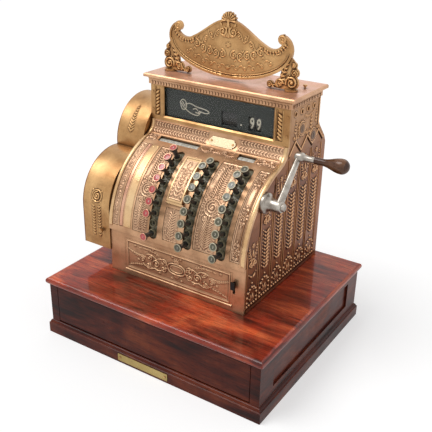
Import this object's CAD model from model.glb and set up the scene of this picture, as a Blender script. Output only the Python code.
"""Ticket register: finishes, cast ornament, keys and stage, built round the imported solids."""

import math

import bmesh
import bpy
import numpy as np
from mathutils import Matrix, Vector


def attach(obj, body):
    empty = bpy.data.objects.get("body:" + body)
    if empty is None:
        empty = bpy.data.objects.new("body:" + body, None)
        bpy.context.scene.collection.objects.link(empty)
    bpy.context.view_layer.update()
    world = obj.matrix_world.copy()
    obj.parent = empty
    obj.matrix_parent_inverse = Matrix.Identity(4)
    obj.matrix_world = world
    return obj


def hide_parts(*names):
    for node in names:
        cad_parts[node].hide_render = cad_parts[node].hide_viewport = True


bl_info = {
    "name": "Ticket register",
    "version": (1, 0, 0),
    "blender": (4, 5, 0),
    "location": "View3D > Sidebar > Register",
    "description": "Carved brass, enamelled keys and polished wood for the ticket register",
    "category": "Object",
}

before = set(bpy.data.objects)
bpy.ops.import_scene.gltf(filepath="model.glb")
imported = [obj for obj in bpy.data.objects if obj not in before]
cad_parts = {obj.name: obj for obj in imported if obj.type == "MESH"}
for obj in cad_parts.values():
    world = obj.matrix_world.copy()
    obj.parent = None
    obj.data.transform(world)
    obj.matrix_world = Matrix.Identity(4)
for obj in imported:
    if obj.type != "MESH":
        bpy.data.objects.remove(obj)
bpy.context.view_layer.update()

MM = 0.001                                      # lengths are in mm, angles in degrees unless said
CAB_MID = -9                                    # middle of the cabinet across
CAB_LEFT, CAB_RIGHT = -172, 154
FRONT_Y, BACK_Y = -110, 204
KB_Y, KB_Z, KB_R = 58, 232, 172                 # axis and radius of the keyboard's curve
KB_LOW, KB_HIGH = 3.5, 67                       # angles between which its panels lie
LID_LOW, LID_HIGH, KEYHOLE = 31.2, 60.8, 53     # angles of the counter lid and its keyhole
SINK = 1.5                                      # depth of the panels sunk into the castings
SWEEP_Y, SWEEP_Z, SWEEP_R = 2, 429.8, 33        # axis and radius of the hollow under the window
CURVE_END, RAMP = 70, 20                        # where the curve ends, slope of the ledge after it
SLOPE = math.radians(RAMP)
END_Y, END_Z = KB_Y - KB_R * math.sin(SLOPE), KB_Z + KB_R * math.cos(SLOPE)     # end of the curve
BANKS = {"dollar": -59, "dime": 23.5, "cent": 101}              # middle of each bank of keys across
KEY_A0, KEY_STEP, KEY_TOP, KEY_TRAVEL = 6, 6.8, 203, 13         # first angle, step, radius, stroke
WHEEL_Y, WHEEL_Z, WHEEL_R = 89.8, 458.5, 44     # axis and radius of the number wheels
BOARD_Y = 43.95                                 # face of the painted board
CRANK_X, CRANK_Y, CRANK_Z = 157.3, -47.99, 346.06               # foot of the crank's hub
CRANK_LONG, CRANK_LEAN = 103, math.radians(47.6)                # its arm, from hub to elbow
ELBOW_X, ARM_X = 176.6, 183.3
SIGN_X, SIGN_Z, SIGN_Y = -11, 600, 75                           # middle of the sign's front
SIGN_HALF, SIGN_BELLY, SIGN_HUMP, SIGN_EDGE = 141, 69, 45, 3.2  # half width, below, above, bare rim
SIGN_FOOT_Z, SIGN_FOOT_Y = 526, 75.5
HEAD_Y, HEAD_PITCH, HEAD_TALL = 38.5, 49.5, 24  # pointed heads over the grooves of the sides
SIDE_GROOVES = [-60.5 + HEAD_PITCH * i for i in range(6)]
PANEL_Z = 143                                   # foot of the panels on the sides
LOBES = ((-10, 265, 103), (95, 372, 92))        # y, z and radius of the printer housing's two lobes
HOUSING_X = -226                                # left end of the housing's reliefs
DOOR_X, DOOR_BACK, DOOR_FOOT = -243, 186, 180   # face, rear edge and foot of its door


def srgb(r, g, b):
    """Linear colour of 0-255 values."""
    return tuple(c / 12.92 if c <= 0.04045 else ((c + 0.055) / 1.055) ** 2.4
                 for c in (r / 255, g / 255, b / 255))


# ---- sizes and colours that a user would change ----

def colour(name, description, rgb):
    return bpy.props.FloatVectorProperty(name=name, description=description, subtype="COLOR",
                                         size=3, min=0, max=1, default=srgb(*rgb))


def number(name, description, value, **kind):
    return bpy.props.FloatProperty(name=name, description=description, default=value, **kind)


class RegisterFinish(bpy.types.PropertyGroup):
    """Colours of the wood, the castings and the enamel."""
    wood_light: colour("Wood, light", "Light streaks of the mahogany", (228, 112, 66))
    wood_mid: colour("Wood, middle", "Body of the mahogany", (164, 66, 42))
    wood_dark: colour("Wood, dark", "Dark streaks of the mahogany", (76, 26, 18))
    rose_light: colour("Rose brass, light", "Worn high places of the castings", (226, 182, 142))
    rose_body: colour("Rose brass", "Body of the castings", (186, 140, 102))
    rose_deep: colour("Rose brass, deep", "Tarnish in the recesses", (66, 36, 18))
    gold_light: colour("Gold brass, light", "Worn high places of the smooth brass", (228, 182, 124))
    gold_body: colour("Gold brass", "Body of the smooth brass", (176, 128, 78))
    gold_deep: colour("Gold brass, deep", "Tarnish of the smooth brass", (74, 44, 20))
    key_red: colour("Red keys", "Enamel of the first bank", (190, 52, 54))
    key_green: colour("Green keys", "Enamel of the other banks", (70, 66, 44))
    ivory: colour("Ivory", "Numerals and the painted hand", (226, 220, 200))


class RegisterCarving(bpy.types.PropertyGroup):
    """Depth and fineness of the cast ornament."""
    step: number("Fineness", "Distance between the points of the ornament", 0.0009,
                 min=0.0006, max=0.003, unit="LENGTH", precision=4)
    depth: number("Depth", "Scale of the ornament's height", 1.0, min=0.3, max=1.5)


class RegisterStage(bpy.types.PropertyGroup):
    """Light and backdrop."""
    sky: number("Sky", "Strength of the soft light from all round", 0.44, min=0, max=2)
    key_light: number("Key light", "Strength of the wide soft light from the upper left", 1.45,
                      min=0, max=10)
    fill_light: number("Fill light", "Power of the lamps at the right and behind", 2.5,
                       min=0, max=500, unit="POWER")
    floor: colour("Floor", "Colour of the floor", (206, 206, 206))


# ---- finishes ----

class Finish:
    """A material, laid down node by node."""

    def __init__(self, name):
        self.material = bpy.data.materials.new(name)
        self.material.use_nodes = True
        self.tree = self.material.node_tree
        self.tree.nodes.clear()
        coords = self.node("TexCoord")
        self.place, self.normal = coords.outputs["Object"], coords.outputs["Normal"]

    def node(self, kind, inputs=None, **settings):
        made = self.tree.nodes.new("ShaderNode" + kind)
        for key, value in settings.items():
            setattr(made, key, value)
        for key, value in (inputs or {}).items():
            if isinstance(value, bpy.types.NodeSocket):
                self.tree.links.new(value, made.inputs[key])
            else:
                made.inputs[key].default_value = value
        return made

    def stretched(self, x, y, z, vector=None):
        return self.node("Mapping", {"Vector": vector or self.place, "Scale": (x, y, z)}).outputs[0]

    def noise(self, scale, detail, rough=0.5, vector=None, distortion=0):
        return self.node("TexNoise", {"Vector": vector or self.place, "Scale": scale, "Detail": detail,
                                      "Roughness": rough, "Distortion": distortion}).outputs[0]

    def ramp(self, factor, *stops):
        made = self.node("ValToRGB", {0: factor})
        elements = made.color_ramp.elements
        while len(elements) < len(stops):
            elements.new(0.5)
        for element, (place, tint) in zip(elements, stops):
            element.position = place
            tint = (tint,) * 3 if isinstance(tint, (int, float)) else tuple(tint)
            element.color = (*tint, 1)
        return made.outputs[0]

    def mix(self, factor, a, b, blend="MIX"):
        a, b = [(*v, 1) if isinstance(v, tuple) and len(v) == 3 else v for v in (a, b)]
        return self.node("Mix", {0: factor, 6: a, 7: b}, data_type="RGBA", blend_type=blend).outputs[2]

    def maths(self, operation, a, b=0.0, clamp=False):
        return self.node("Math", {0: a, 1: b}, operation=operation, use_clamp=clamp).outputs[0]

    def bump(self, height, strength, distance):
        bump = self.node("Bump", {"Height": height, "Strength": strength, "Distance": distance})
        return bump.outputs[0]

    def surface(self, inputs):
        shader = self.node("BsdfPrincipled", inputs)
        self.node("OutputMaterial", {"Surface": shader.outputs[0]})
        return self.material


def wood_finish(name, dark, mid, light, coat):
    """Ribbon-figured wood; on faces that look along X the grain runs along Y."""
    f = Finish(name)
    split = f.node("SeparateXYZ", {0: f.place})
    x, y, z = split.outputs
    sideways = f.node("SeparateXYZ", {0: f.normal}).outputs[0]
    lie = f.maths("GREATER_THAN", f.maths("ABSOLUTE", sideways), 0.6)
    along = f.node("Mix", {0: lie, 2: x, 3: y}).outputs[0]
    across = f.node("Mix", {0: lie, 2: y, 3: x}).outputs[0]
    grain = f.node("CombineXYZ", {0: along, 1: across, 2: z}).outputs[0]
    broad = f.noise(1, 3, 0.55, f.stretched(5.5, 15, 15, vector=grain), 0.9)
    streak = f.noise(1, 5, 0.62, f.stretched(9, 100, 100, vector=grain), 0.5)
    pores = f.noise(1, 2, 0.6, f.stretched(40, 1500, 1500, vector=grain))
    ribbon = f.noise(1, 1, 0.5, f.stretched(26, 7, 7, vector=grain), 1.5)
    tone = f.maths("ADD", f.maths("MULTIPLY", broad, 0.66), f.maths("MULTIPLY", streak, 0.34))
    tint = f.ramp(tone, (0.37, dark), (0.5, mid), (0.63, light))
    sheen = f.maths("MULTIPLY", f.ramp(ribbon, (0.42, 0.0), (0.62, 1.0)), 0.3)
    tint = f.mix(sheen, tint, light, "SOFT_LIGHT")
    tint = f.mix(f.ramp(pores, (0.52, 0.0), (0.66, 0.75)), tint, tuple(0.35 * c for c in dark))
    wear = f.noise(9, 4, 0.6)
    rough = f.ramp(wear, (0.35, 0.26), (0.7, 0.44))
    return f.surface({"Base Color": tint, "Roughness": rough, "Coat Weight": coat, "Coat Roughness": 0.05,
                      "Specular IOR Level": 0.12, "Normal": f.bump(pores, 0.12, 0.0004)})


def brass_finish(name, light, body, deep, carved=False, rough=(0.3, 0.46), metal=0.72, worn_top=None,
                 dirt=0.95, above=None, tip=None):
    """Cast brass: clouded, browned where it lies deep and bright where hands rub it.

    above is a height in metres, the colour that takes over from there up, and its share.
    """
    f = Finish(name)
    cloud = f.noise(13, 4, 0.6, distortion=0.3)
    grit = f.noise(520, 3, 0.6)
    tint = f.mix(f.ramp(cloud, (0.34, 0.0), (0.68, 1.0)), body, light)
    stain = tuple(0.55 * b + 0.2 * d for b, d in zip(body, deep))
    tint = f.mix(f.ramp(f.noise(38, 4, 0.65), (0.5, 0.0), (0.78, 0.5)), tint, stain)
    if above:
        height, upper, share = above
        rise = f.maths("SUBTRACT", f.node("SeparateXYZ", {0: f.place}).outputs[2], height)
        high_up = f.maths("MULTIPLY", rise, 12, clamp=True)
        tint = f.mix(f.maths("MULTIPLY", high_up, share), tint, upper)
    if worn_top:
        up = f.node("SeparateXYZ", {0: f.normal}).outputs[2]
        patches = f.ramp(f.noise(46, 5, 0.7), (0.4, 0.35), (0.58, 1.0))
        tint = f.mix(f.maths("MULTIPLY", f.ramp(up, (0.7, 0.0), (0.85, 1.0)), patches), tint, worn_top)
    if carved:
        high = f.node("Attribute", attribute_name="relief").outputs["Fac"]
        tint = f.mix(f.ramp(high, (0.18, dirt), (0.52, 0.0)), tint, deep)
        tint = f.mix(f.ramp(high, (0.62, 0.0), (0.98, 0.8)), tint, tip or light)
    else:
        open_to_air = f.node("AmbientOcclusion", {"Distance": 0.009}, samples=6).outputs["AO"]
        tint = f.mix(f.ramp(open_to_air, (0.35, 0.9), (0.9, 0.0)), tint, deep)
    tint = f.mix(f.ramp(grit, (0.56, 0.0), (0.75, 0.35)), tint, deep)
    shine = f.ramp(f.noise(24, 3), (0.35, rough[0]), (0.7, rough[1]))
    return f.surface({"Base Color": tint, "Metallic": metal, "Roughness": shine,
                      "Normal": f.bump(grit, 0.25, 0.00025)})


def metal_finish(name, light, dark, rough, metal):
    """Turned or plated metal with fine wear."""
    f = Finish(name)
    cloud = f.noise(30, 5, 0.6)
    lines = f.noise(1, 3, 0.6, f.stretched(900, 900, 60))
    tint = f.mix(f.ramp(cloud, (0.36, 0.0), (0.7, 1.0)), dark, light)
    tint = f.mix(f.ramp(f.noise(150, 3), (0.6, 0.0), (0.75, 0.5)), tint, tuple(0.5 * c for c in dark))
    return f.surface({"Base Color": tint, "Metallic": metal,
                      "Roughness": f.ramp(cloud, (0.3, rough), (0.75, rough + 0.18)),
                      "Normal": f.bump(lines, 0.12, 0.0002)})


def enamel_finish(name, tint, worn, rough, coat=0.3, grain=0.4):
    """Paint, enamel or paper: one colour with faint clouds and wear."""
    f = Finish(name)
    cloud = f.noise(60, 4, 0.6)
    fine = f.noise(400, 3, 0.6)
    colours = f.mix(f.ramp(cloud, (0.4, 0.0), (0.75, 0.8)), tint, worn)
    colours = f.mix(f.ramp(fine, (0.62, 0.0), (0.75, grain)), colours, tuple(0.5 * c for c in tint))
    return f.surface({"Base Color": colours, "Roughness": f.ramp(cloud, (0.3, rough), (0.7, rough + 0.15)),
                      "Coat Weight": coat, "Normal": f.bump(fine, 0.2 * grain, 0.0002)})


def counter_finish():
    """Pale number wheels side by side, a dark joint between each two."""
    f = Finish("counter_white")
    x = f.node("SeparateXYZ", {0: f.place}).outputs[0]
    wheel = f.maths("ABSOLUTE", f.maths("SUBTRACT", f.maths("FRACT", f.maths("MULTIPLY", x, 90.0)), 0.5))
    tint = f.ramp(f.noise(160, 4, 0.6), (0.4, srgb(222, 220, 208)), (0.62, srgb(176, 172, 158)))
    tint = f.mix(f.ramp(wheel, (0.43, 0.0), (0.48, 0.45)), tint, srgb(80, 78, 70))
    rough = f.ramp(f.noise(40, 3), (0.3, 0.3), (0.7, 0.45))
    return f.surface({"Base Color": tint, "Roughness": rough, "Coat Weight": 0.3})


def glass_finish():
    """Clear glass with a faint haze."""
    f = Finish("window_glass")
    haze = f.ramp(f.noise(20, 4, 0.6), (0.4, 0.02), (0.8, 0.09))
    return f.surface({"Base Color": (0.96, 0.98, 0.97, 1), "Transmission Weight": 1.0, "IOR": 1.45,
                      "Alpha": 0.07, "Roughness": haze, "Specular IOR Level": 0.3})


FINISHES = {}


def make_finishes():
    """Makes each finish once."""
    if FINISHES:
        return
    c = bpy.context.scene.register_finish
    chosen = {k: tuple(getattr(c, k)) for k in c.__annotations__}

    def family(name, *ends, share=1.0):
        """The colours that the user chose for one material, all dimmed to a share of their light."""
        return [tuple(share * v for v in chosen[f"{name}_{end}"]) for end in ends]

    wood, brass = ("dark", "mid", "light"), ("light", "body", "deep")
    brown = dict(light=srgb(158, 96, 52), body=srgb(118, 64, 32), metal=0.6,
                 above=(0.38, srgb(206, 156, 106), 0.7))
    makers = {
        wood_finish: {
            "mahogany": (*family("wood", *wood), 0.5),
            "case_wood": (*family("wood", *wood, share=0.27), 0.1),
            "drawer_wood": (srgb(120, 84, 50), srgb(170, 126, 80), srgb(202, 162, 112), 0.1),
            "grip_wood": (srgb(46, 28, 18), srgb(92, 60, 40), srgb(140, 98, 68), 0.45),
        },
        metal_finish: {
            "key_rim": (srgb(206, 196, 170), srgb(158, 148, 122), 0.34, 0.45),
            "nickel": (srgb(216, 209, 198), srgb(132, 122, 112), 0.22, 0.82),
            "black_iron": (srgb(48, 46, 44), srgb(24, 22, 20), 0.42, 0.5),
        },
        enamel_finish: {
            "guide_olive": (srgb(104, 98, 74), srgb(152, 144, 116), 0.38, 0.1),
            "display_board": (srgb(34, 40, 36), srgb(50, 56, 50), 0.45, 0.1, 0.1),
            "wheel_paint": (srgb(36, 36, 34), srgb(52, 52, 48), 0.4),
            "ivory": (chosen["ivory"], srgb(196, 186, 160), 0.3, 0.5),
            "key_red": (chosen["key_red"], srgb(214, 84, 80), 0.25, 0.8),
            "key_green": (chosen["key_green"], srgb(104, 102, 78), 0.3, 0.5),
            "key_black": (srgb(30, 29, 28), srgb(56, 54, 50), 0.4),
            "paper": (srgb(230, 224, 206), srgb(212, 202, 178), 0.8, 0.0),
        },
    }
    for maker, table in makers.items():
        for name, values in table.items():
            FINISHES[name] = maker(name, *values)
    brasses = {
        "rose_brass": (family("rose", *brass), {}),
        "rose_carved": (family("rose", *brass), dict(carved=True, dirt=0.8)),
        "keyboard_carved": ((srgb(226, 186, 150), srgb(176, 134, 102), srgb(80, 48, 30)),
                            dict(carved=True, dirt=0.8)),
        "golden_brass": (family("gold", *brass), {}),
        "golden_carved": (family("gold", *brass), dict(carved=True)),
        "drum_brass": (family("gold", *brass, share=0.9), {}),
        "brown_brass": ((), dict(brown, deep=srgb(36, 14, 6))),
        "brown_carved": ((), dict(brown, deep=srgb(38, 16, 8), carved=True, tip=srgb(252, 200, 150))),
        "plate_brass": ((srgb(196, 172, 112), srgb(166, 142, 84), srgb(84, 66, 34)),
                        dict(rough=(0.24, 0.36), above=(0.3, srgb(240, 214, 178), 0.85))),
        "copper": ((srgb(234, 184, 154), srgb(208, 148, 118), srgb(96, 44, 28)), dict(rough=(0.22, 0.34))),
        "cornice_brass": ((srgb(226, 180, 140), srgb(190, 140, 102), chosen["gold_deep"]),
                          dict(rough=(0.34, 0.5), worn_top=srgb(232, 184, 162))),
        "edge_brass": ((srgb(238, 202, 154), srgb(214, 170, 120), srgb(96, 62, 34)),
                       dict(rough=(0.24, 0.36))),
        "dark_bronze": ((srgb(138, 98, 56), srgb(92, 60, 34), srgb(30, 18, 12)), dict(metal=0.5)),
    }
    for name, (colours, options) in brasses.items():
        FINISHES[name] = brass_finish(name, *colours, **options)
    FINISHES["counter_white"] = counter_finish()
    FINISHES["glass"] = glass_finish()


def dress(nodes, finish):
    """Gives CAD nodes a finish."""
    for name in nodes:
        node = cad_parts[name]
        node.data.materials.clear()
        node.data.materials.append(FINISHES[finish])


# ---- modelling helpers ----

def clear_selection():
    if bpy.context.object and bpy.context.object.mode != "OBJECT":
        bpy.ops.object.mode_set(mode="OBJECT")
    bpy.ops.object.select_all(action="DESELECT")


def choose(*objects):
    clear_selection()
    for o in objects:
        o.select_set(True)
    bpy.context.view_layer.objects.active = objects[0]


def settle(piece, matrix=None):
    """Puts the piece's place, then matrix, into its mesh and leaves its object at the origin."""
    bpy.context.view_layer.update()
    piece.data.transform((matrix or Matrix.Identity(4)) @ piece.matrix_world)
    piece.matrix_world = Matrix.Identity(4)
    return piece


def finish_piece(piece, name, body, slot, *finishes):
    """Names a piece, gives it its finishes and lets it ride on a body."""
    piece.name = piece.data.name = name
    piece.data.materials.clear()
    for finish in finishes:
        piece.data.materials.append(FINISHES[finish])
    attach(piece, body)
    return piece


def copied(source, matrix=None):
    """A copy with a mesh of its own, moved by matrix."""
    part = source.copy()
    part.data = source.data.copy()
    bpy.context.scene.collection.objects.link(part)
    if matrix is not None:
        part.data.transform(matrix)
    return part


def moved(x, y, z):
    """A move in mm."""
    return Matrix.Translation(Vector((x, y, z)) * MM)


def edit_all():
    """Edit mode with everything selected."""
    bpy.ops.object.mode_set(mode="EDIT")
    bpy.ops.mesh.select_all(action="SELECT")


def join(pieces):
    choose(*pieces)
    bpy.ops.object.join()
    return bpy.context.object


def smooth(piece, degrees):
    choose(piece)
    bpy.ops.object.shade_smooth_by_angle(angle=math.radians(degrees))
    return piece


def outward(piece):
    """Welds the mesh and turns its faces outwards."""
    mesh = bmesh.new()
    mesh.from_mesh(piece.data)
    bmesh.ops.remove_doubles(mesh, verts=mesh.verts, dist=1e-6)
    bmesh.ops.recalc_face_normals(mesh, faces=mesh.faces)
    mesh.to_mesh(piece.data)
    mesh.free()
    return piece


def turned(x0, y, z, profile):
    """A round solid on an axis along X; profile gives (mm from x0, radius) from end to end."""
    clear_selection()
    bpy.ops.mesh.primitive_circle_add(vertices=40, radius=profile[0][1] * MM, fill_type="NGON")
    piece = bpy.context.object
    edit_all()
    for (a, r), (b, s) in zip(profile, profile[1:]):
        bpy.ops.mesh.extrude_region_move(TRANSFORM_OT_translate={"value": (0, 0, (b - a) * MM)})
        bpy.ops.transform.resize(value=(s / r, s / r, 1), center_override=(0, 0, 0))
    bpy.ops.mesh.select_all(action="SELECT")
    bpy.ops.mesh.fill_holes(sides=0)
    bpy.ops.object.mode_set(mode="OBJECT")
    settle(piece, moved(x0 + profile[0][0], y, z) @ Matrix.Rotation(math.pi / 2, 4, "Y"))
    return outward(piece)


def numeral(digit, size, bold=0.0):
    """A raised number about the origin, read from above."""
    clear_selection()
    bpy.ops.object.text_add(location=(0, 0, 0))
    text = bpy.context.object
    text.data.body = str(digit)
    text.data.size = size * MM
    text.data.align_x, text.data.align_y = "CENTER", "CENTER"
    text.data.extrude = 0.08 * MM
    text.data.resolution_u = 3
    text.data.offset = bold * MM
    bpy.ops.object.convert(target="MESH")
    text = bpy.context.object
    spots = np.array([v.co for v in text.data.vertices])
    middle = (spots.min(0) + spots.max(0)) / 2
    text.data.transform(Matrix.Translation((-middle[0], -middle[1], 0)))
    text.data.materials.clear()
    text.data.materials.append(FINISHES["ivory"])
    return text


# ---- carving: a relief drawn in mm on a flat field ----

def arc_points(u, v, r, a0, a1, n, r1=None):
    """Points of an arc from a0 to a1 whose radius may go from r to r1."""
    r1 = r if r1 is None else r1
    return [(u + (r + (r1 - r) * t) * math.cos(math.radians(a0 + (a1 - a0) * t)),
             v + (r + (r1 - r) * t) * math.sin(math.radians(a0 + (a1 - a0) * t)))
            for t in (i / n for i in range(n + 1))]


def bow(a, b, c, n=12):
    """Points of a curve from a to c, drawn towards b."""
    return [tuple((1 - t) ** 2 * p + 2 * t * (1 - t) * q + t * t * s for p, q, s in zip(a, b, c))
            for t in (i / n for i in range(n + 1))]


def around(u, v, r, degrees):
    """The point r away from (u, v) in that direction."""
    a = math.radians(degrees)
    return u + r * math.cos(a), v + r * math.sin(a)


class Carving:
    """Heights in mm over a field of wide by long mm, from its lower left corner."""

    def __init__(self, wide, long, scale=1.0):
        settings = bpy.context.scene.register_carving
        step = settings.step * scale / MM * 1
        self.wide, self.long = wide, long
        self.depth = settings.depth
        nu, nv = max(4, round(wide / step)), max(4, round(long / step))
        self.u, self.v = np.meshgrid(np.linspace(0, wide, nu + 1), np.linspace(0, long, nv + 1))
        self.du, self.dv = wide / nu, long / nv
        self.h = np.zeros_like(self.u)
        self.cuts = np.zeros_like(self.u)
        self.sunk = np.zeros(self.u.shape, bool)

    def window(self, u0, u1, v0, v1):
        """The part of the field that holds these limits."""
        rows = slice(max(0, int(v0 / self.dv)), max(0, int(v1 / self.dv) + 2))
        cols = slice(max(0, int(u0 / self.du)), max(0, int(u1 / self.du) + 2))
        return rows, cols

    def put(self, window, height, cut=False):
        """Raises or cuts the field to at least this height; shapes never add up."""
        field = self.cuts if cut else self.h
        field[window] = np.maximum(field[window], height)

    def dome(self, u, v, r, top, cut=False):
        w = self.window(u - r, u + r, v - r, v + r)
        q = 1 - ((self.u[w] - u) ** 2 + (self.v[w] - v) ** 2) / r ** 2
        self.put(w, top * np.sqrt(np.clip(q, 0, 1)), cut)

    def ring(self, u, v, r, w, top):
        win = self.window(u - r - w, u + r + w, v - r - w, v + r + w)
        d = (np.hypot(self.u[win] - u, self.v[win] - v) - r) / w
        self.put(win, top * np.sqrt(np.clip(1 - d ** 2, 0, 1)))

    def stroke(self, points, w0, w1, top, cut=False):
        """A rounded line whose half width goes from w0 to w1."""
        n = len(points) - 1
        for k in range(n):
            (a, b), (c, d) = points[k], points[k + 1]
            wa, wb = w0 + (w1 - w0) * k / n, w0 + (w1 - w0) * (k + 1) / n
            m = max(wa, wb)
            win = self.window(min(a, c) - m, max(a, c) + m, min(b, d) - m, max(b, d) + m)
            du, dv = c - a, d - b
            reach = (self.u[win] - a) * du + (self.v[win] - b) * dv
            along = np.clip(reach / (du * du + dv * dv + 1e-9), 0, 1)
            gap = np.hypot(self.u[win] - a - along * du, self.v[win] - b - along * dv)
            q = 1 - (gap / (wa + (wb - wa) * along)) ** 2
            self.put(win, top * np.sqrt(np.clip(q, 0, 1)), cut)

    def leaf(self, u, v, angle, length, width, top, vein=0.35):
        a = math.radians(angle)
        c, s = math.cos(a), math.sin(a)
        tip_u, tip_v = u + length * c, v + length * s
        win = self.window(min(u, tip_u) - width, max(u, tip_u) + width,
                          min(v, tip_v) - width, max(v, tip_v) + width)
        x, y = self.u[win] - u, self.v[win] - v
        along, across = (x * c + y * s) / length, -x * s + y * c
        t = np.clip(along, 0, 1)
        half = width / 2 * np.sin(np.pi * t ** 0.75) + 1e-4
        q = np.where((along > 0) & (along < 1), 1 - (across / half) ** 2, 0)
        shape = np.sqrt(np.clip(q, 0, 1)) * (0.6 + 0.4 * np.sin(np.pi * t))
        shape -= vein * np.exp(-(across / (0.12 * width + 0.15)) ** 2) * (q > 0) * np.sin(np.pi * t)
        self.put(win, top * np.clip(shape, 0, 1))

    def spiral(self, u, v, r, angle, turns, w, top, hand=1):
        """A volute that curls in from its rim to a bead."""
        curl = arc_points(u, v, r, angle, angle + hand * 360 * turns, int(16 * turns) + 4, r * 0.16)
        self.stroke(curl, w, w * 0.7, top)
        self.dome(u, v, max(0.22 * r, 1.0), top * 1.15)

    def frond(self, points, leaves, length, width, top, spread, stem=0.6, ends=(1.0, 0.45)):
        """A stem with paired leaves that shrink towards its tip."""
        self.stroke(points, stem, stem * 0.6, top * 0.8)
        pts = np.array(points, float)
        run = np.concatenate([[0], np.cumsum(np.hypot(*np.diff(pts, axis=0).T))])
        for i in range(leaves):
            t = (i + 0.3) / leaves
            s = t * run[-1]
            u, v = np.interp(s, run, pts[:, 0]), np.interp(s, run, pts[:, 1])
            e = min(s + 0.5, run[-1])
            b = max(s - 0.5, 0)
            lean = math.degrees(math.atan2(np.interp(e, run, pts[:, 1]) - np.interp(b, run, pts[:, 1]),
                                           np.interp(e, run, pts[:, 0]) - np.interp(b, run, pts[:, 0])))
            size = ends[0] + (ends[1] - ends[0]) * t
            for side in (1, -1):
                self.leaf(u, v, lean + side * spread, length * size, width * size, top)
        lean = math.degrees(math.atan2(*(pts[-1] - pts[-2])[::-1]))
        self.leaf(*points[-1], lean, length * ends[1], width * ends[1], top)

    def fan(self, u, v, angle, leaves, length, width, top, spread):
        """Leaves that open like a hand, a palmette."""
        for i in range(leaves):
            t = i / (leaves - 1) - 0.5
            self.leaf(u, v, angle + t * spread, length * (1 - 0.35 * abs(2 * t) ** 1.5), width, top)
        self.dome(u, v, width * 0.6, top * 1.1)

    def flower(self, u, v, r, petals, top):
        for i in range(petals):
            self.leaf(u, v, 360 * i / petals, r, r * 1.7 / petals * 2, top, 0.2)
        self.dome(u, v, r * 0.26, top * 1.2)

    def beads(self, u, v, r, count, size, top):
        """A circle of beads."""
        for i in range(count):
            self.dome(*around(u, v, r, 360 / count * i), size, top)

    def rim(self, inset, w, top):
        """A raised bead round the field."""
        a, b = self.wide - inset, self.long - inset
        self.stroke([(inset, inset), (a, inset), (a, b), (inset, b), (inset, inset)], w, w, top)

    def upright(self, u, gap, w, top):
        """A raised line along the field, gap mm short of its ends."""
        self.stroke([(u, gap), (u, self.long - gap)], w, w, top)

    def level(self, v, gap, w, top):
        """A raised line across the field, gap mm short of its sides."""
        self.stroke([(gap, v), (self.wide - gap, v)], w, w, top)

    def ground(self, seed, pitch, r, top):
        """Small beads on the free ground, set by hand as a punch would."""
        rng = np.random.default_rng(seed)
        for v in np.arange(pitch / 2, self.long, pitch):
            for u in np.arange(pitch / 2, self.wide, pitch):
                p, q = u + rng.uniform(-0.35, 0.35) * pitch, v + rng.uniform(-0.35, 0.35) * pitch
                w = self.window(p - r, p + r, q - r, q + r)
                if self.h[w].size and self.h[w].max() < 0.15:
                    self.dome(p, q, r, top)

    def slab(self, inset, round_off, top):
        """A flat plate with rounded edges."""
        edge = np.minimum.reduce([self.u, self.wide - self.u, self.v, self.long - self.v]) - inset
        t = np.clip(edge / round_off, 0, 1)
        self.h = np.maximum(self.h, top * np.sqrt(np.clip(1 - (1 - t) ** 2, 0, 1)) * (edge > 0))

    def screw(self, u, v, r, top):
        self.dome(u, v, r, top + 0.5)
        self.stroke([(u - r, v), (u + r, v)], 0.35, 0.35, 1.0, cut=True)

    def outside(self, *polygons):
        """True where the field lies outside all the polygons."""
        inside = np.zeros(self.u.shape, bool)
        for points in polygons:
            hit = np.zeros(self.u.shape, bool)
            for (a, b), (c, d) in zip(points, points[1:] + points[:1]):
                if b != d:
                    beside = self.u < (c - a) * (self.v - b) / (d - b) + a
                    hit ^= ((b > self.v) != (d > self.v)) & beside
            inside |= hit
        return ~inside

    def mirrored(self, draw):
        """Draws on the left half and copies it to the right."""
        draw()
        self.h = np.maximum(self.h, self.h[:, ::-1])
        self.cuts = np.maximum(self.cuts, self.cuts[:, ::-1])

    def result(self, base):
        """Height field and how open each place lies, from 0 deep to 1 proud."""
        h = self.depth * (self.h - self.cuts)
        wide = h.copy()
        reach = max(1, round(2.2 / self.du))
        for axis in (0, 1):
            for _ in range(2):
                pad = [(reach, reach) if a == axis else (0, 0) for a in (0, 1)]
                run = np.cumsum(np.pad(wide, pad, mode="edge"), axis=axis)
                run = np.insert(run, 0, 0, axis=axis)
                n = wide.shape[axis]
                hi = np.take(run, range(2 * reach + 1, 2 * reach + 1 + n), axis=axis)
                lo = np.take(run, range(0, n), axis=axis)
                wide = (hi - lo) / (2 * reach + 1)
        proud = np.clip(0.5 + (h - wide) * 0.75, 0, 1)
        return np.where(self.sunk, base - 0.8, base + h), proud


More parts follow.
